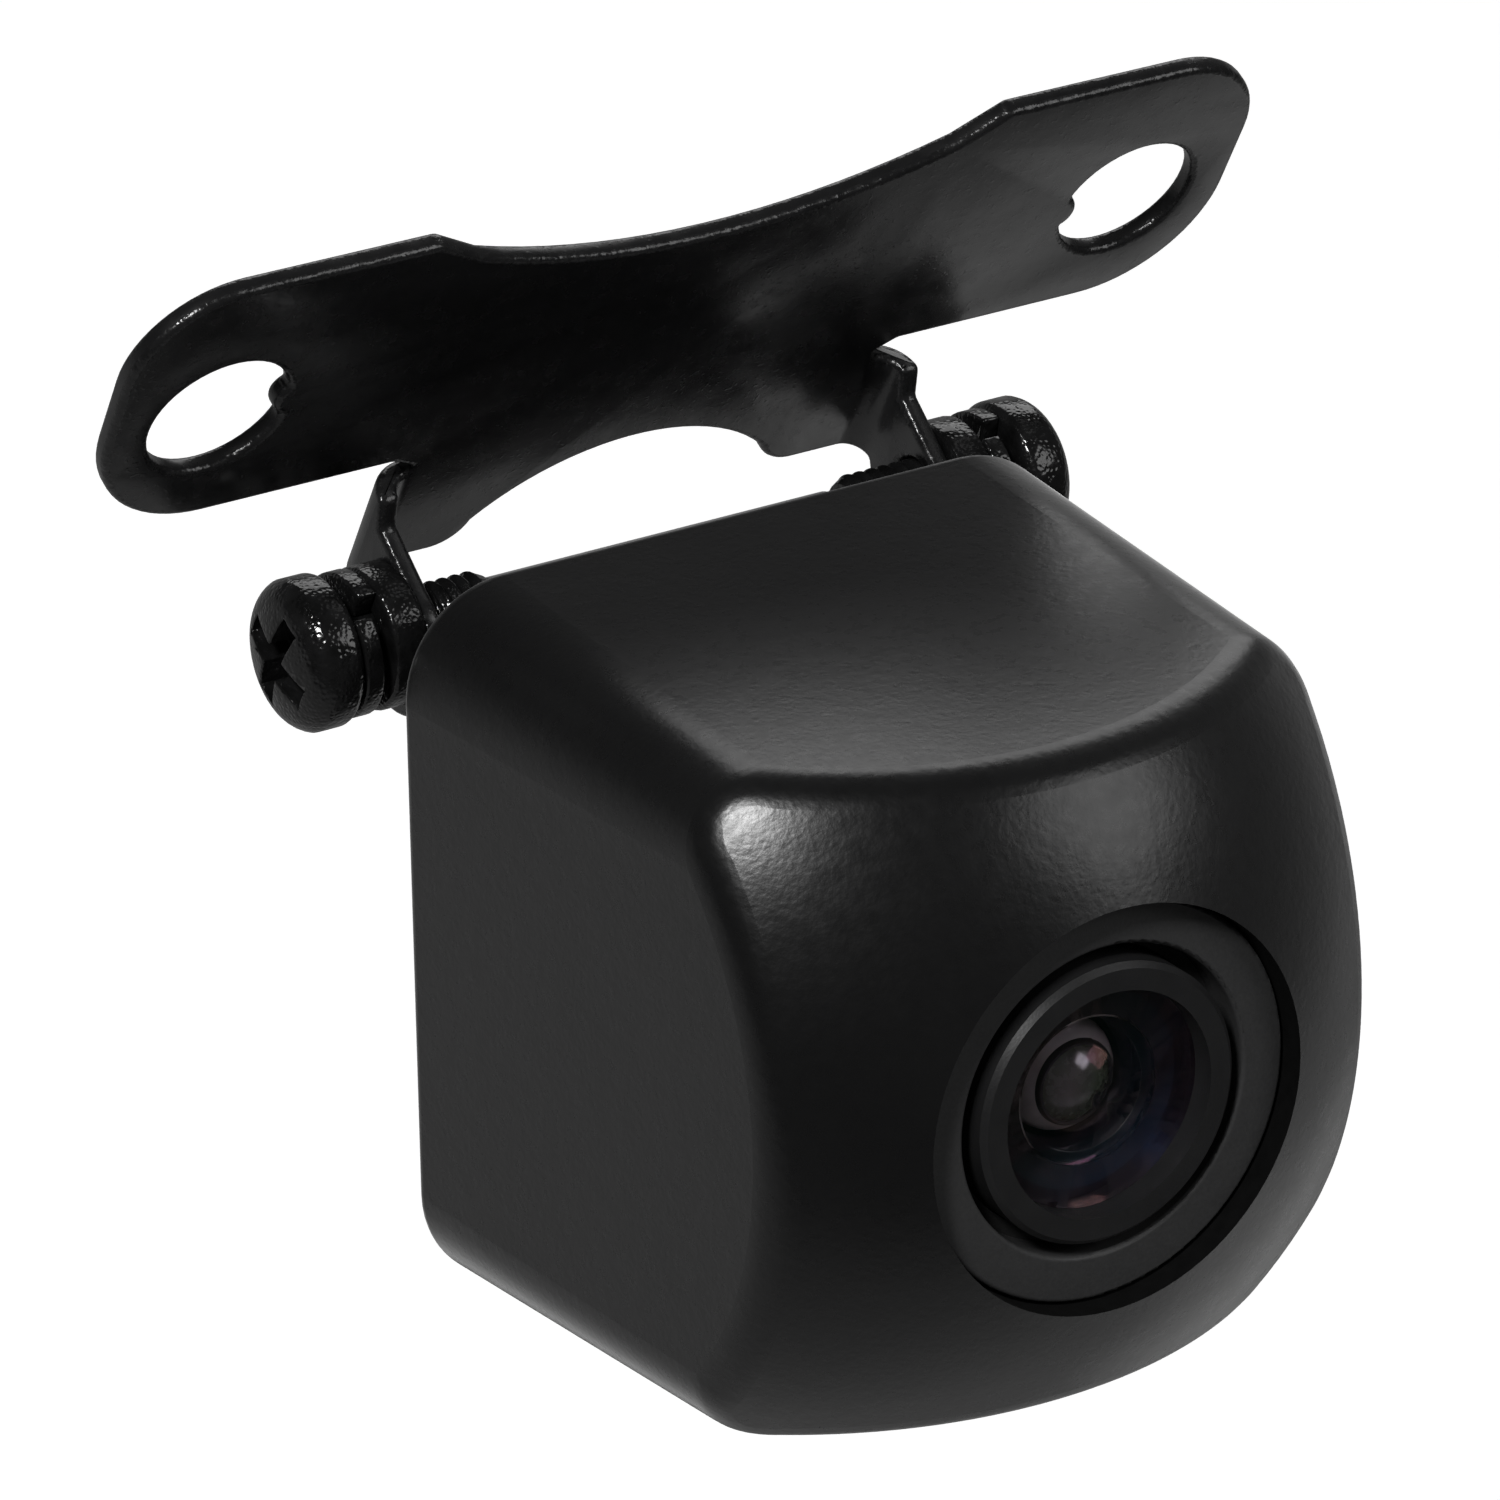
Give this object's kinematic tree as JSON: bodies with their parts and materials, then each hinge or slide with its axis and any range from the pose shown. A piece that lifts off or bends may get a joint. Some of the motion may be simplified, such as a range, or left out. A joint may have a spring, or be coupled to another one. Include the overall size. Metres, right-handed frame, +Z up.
{
  "type": "backup camera",
  "caption": "Small square backup camera with a domed front and a recessed wide-angle lens, tilting between the ears of a two-winged sheet bracket.",
  "frame": {"origin": "midway between the two mounting holes, on the bracket's back face", "axes": "+X to the right seen from in front of the lens, -Y out of the side the lens faces, +Z up along the flat of the bracket"},
  "size_m": [0.0408, 0.0339, 0.0307],
  "materials": {
    "bracket_paint": "semi-gloss black paint on steel",
    "fastener_black": "gloss black",
    "housing_coat": "satin black powder coat on die-cast zinc alloy",
    "seal_rubber": "matte",
    "small_screws": "black oxide",
    "ring_matte": "matte dark grey",
    "barrel_black": "matte black anodised aluminium",
    "coated_glass": "purple anti-reflection coating",
    "filter_glass": "clear, faint cyan",
    "holder_plastic": "matte black",
    "board_green": "solder mask on glass-fibre laminate",
    "chip_black": "chip package",
    "connector_white": "matte off-white",
    "brass_parts": "plain"
  },
  "bodies": {
    "bracket": {"mounting_bracket": "bracket_paint", "plain_washers": "fastener_black", "spring_washers": "fastener_black", "pivot_screws": "fastener_black"},
    "camera": {"front_housing": "housing_coat", "rear_cover": "housing_coat", "rear_cover_gasket": "seal_rubber", "rear_cover_screws": "small_screws", "cable_gland": "seal_rubber", "lens_retaining_ring": "ring_matte", "lens_seal_ring": "seal_rubber", "lens_barrel": "barrel_black", "front_lens_element": "coated_glass", "lens_spacer_ring": "ring_matte", "middle_lens_element": "coated_glass", "aperture_stop": "ring_matte", "rear_lens_element": "coated_glass", "infrared_filter": "filter_glass", "lens_holder": "holder_plastic", "sensor_board": "board_green", "power_board": "board_green", "image_sensor": "chip_black", "image_processor": "chip_black", "board_connector": "connector_white", "voltage_regulator": "chip_black", "board_spacers": "brass_parts", "board_screws": "small_screws"}
  },
  "joints": [
    {"name": "camera_tilt", "type": "hinge", "parent": "bracket", "child": "camera", "pos_m": [0, -0.004, -0.0086], "axis": [1, 0, 0], "range_deg": [-45, 45]}
  ]
}
